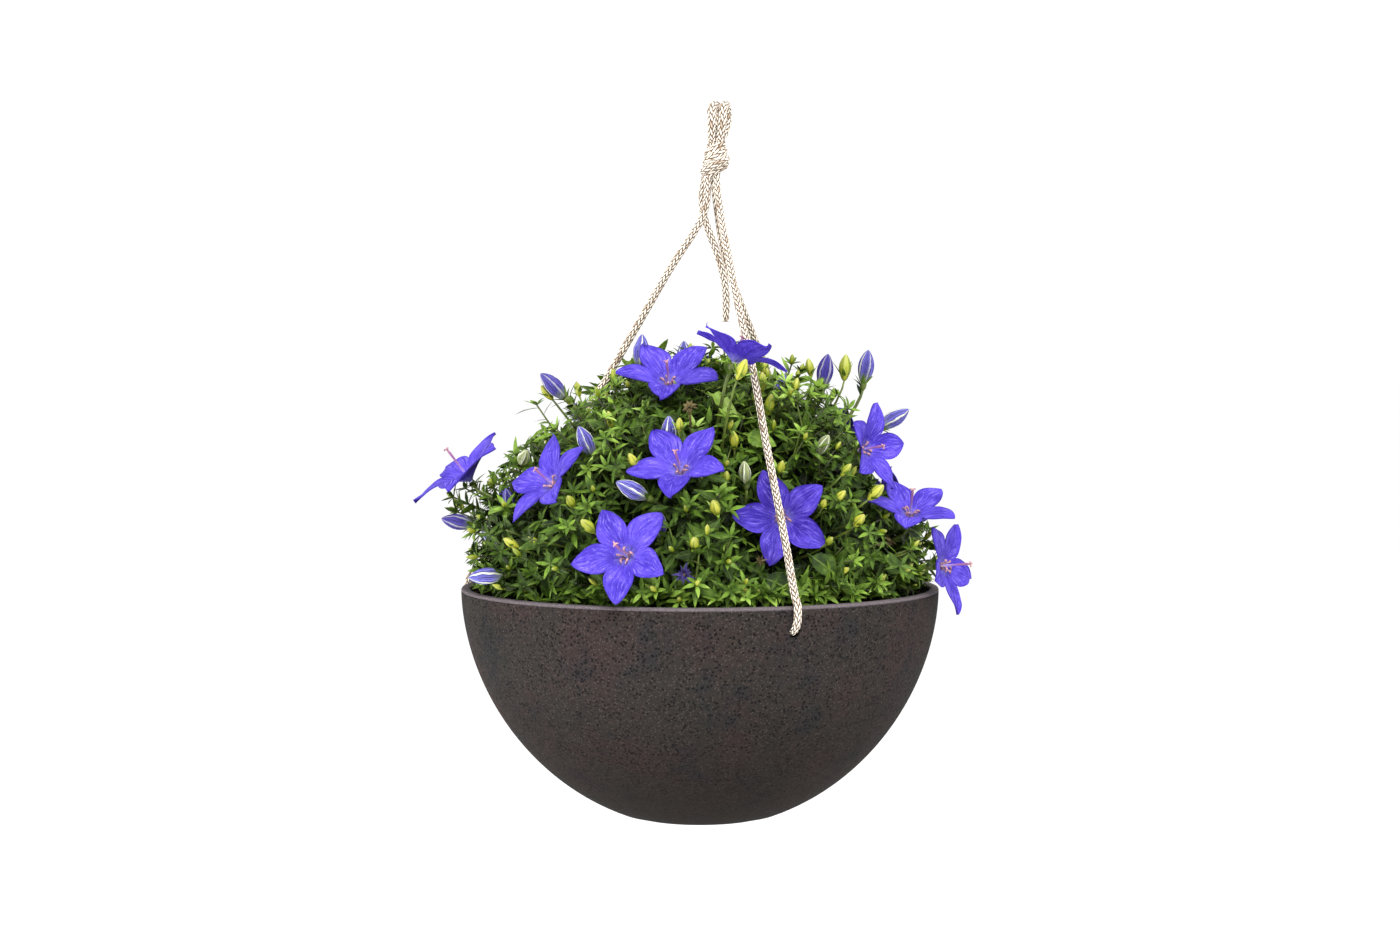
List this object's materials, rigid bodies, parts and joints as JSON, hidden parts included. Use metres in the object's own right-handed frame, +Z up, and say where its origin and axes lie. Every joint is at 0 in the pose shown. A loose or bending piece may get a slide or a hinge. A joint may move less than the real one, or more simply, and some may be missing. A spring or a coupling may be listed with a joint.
{
  "type": "potted bellflower",
  "caption": "Mounded bellflower with open violet star blooms and striped buds in a round stone-look hanging bowl on a braided rope.",
  "frame": {"origin": "the hang point: the inside of the top of the rope loop, where a hook carries it", "axes": "+Z up, -Y the front of the pot, where one strand comes down right of the middle"},
  "size_m": [0.2932, 0.2732, 0.3798],
  "materials": {
    "pot": "matt, speckled stone-look resin",
    "soil": "loose dark potting soil",
    "foliage": "satin living leaf",
    "petals": "soft matt petal",
    "buds": "soft matt bud",
    "rope": "braided cord"
  },
  "bodies": {
    "root": {"pot": "pot", "soil": "soil", "foliage": "foliage", "bloom_1": "petals", "bloom_2": "petals", "bloom_3": "petals", "bloom_4": "petals", "bloom_5": "petals", "bloom_6": "petals", "bloom_7": "petals", "bloom_8": "petals", "bloom_9": "petals", "bloom_10": "petals", "bloom_11": "petals", "bloom_12": "petals", "bloom_13": "petals", "bloom_14": "petals", "bloom_15": "petals", "bloom_16": "petals", "bud_1": "buds", "bud_2": "buds", "bud_3": "buds", "bud_4": "buds", "bud_5": "buds", "bud_6": "buds", "bud_7": "buds", "bud_8": "buds", "bud_9": "buds", "bud_10": "buds", "bud_11": "buds", "bud_12": "buds", "bud_13": "buds", "bud_14": "buds", "bud_15": "buds", "bud_16": "buds", "bud_17": "buds", "bud_18": "buds", "bud_19": "buds", "bud_20": "buds", "bud_21": "buds", "bud_22": "buds", "strand_front": "rope", "strand_back_right": "rope", "strand_left": "rope", "tail": "rope", "loop_bight_left": "rope", "loop_bight_right": "rope", "top_knot": "rope", "stopper_knot_front": "rope", "stopper_knot_back_right": "rope", "stopper_knot_left": "rope"}
  },
  "joints": []
}
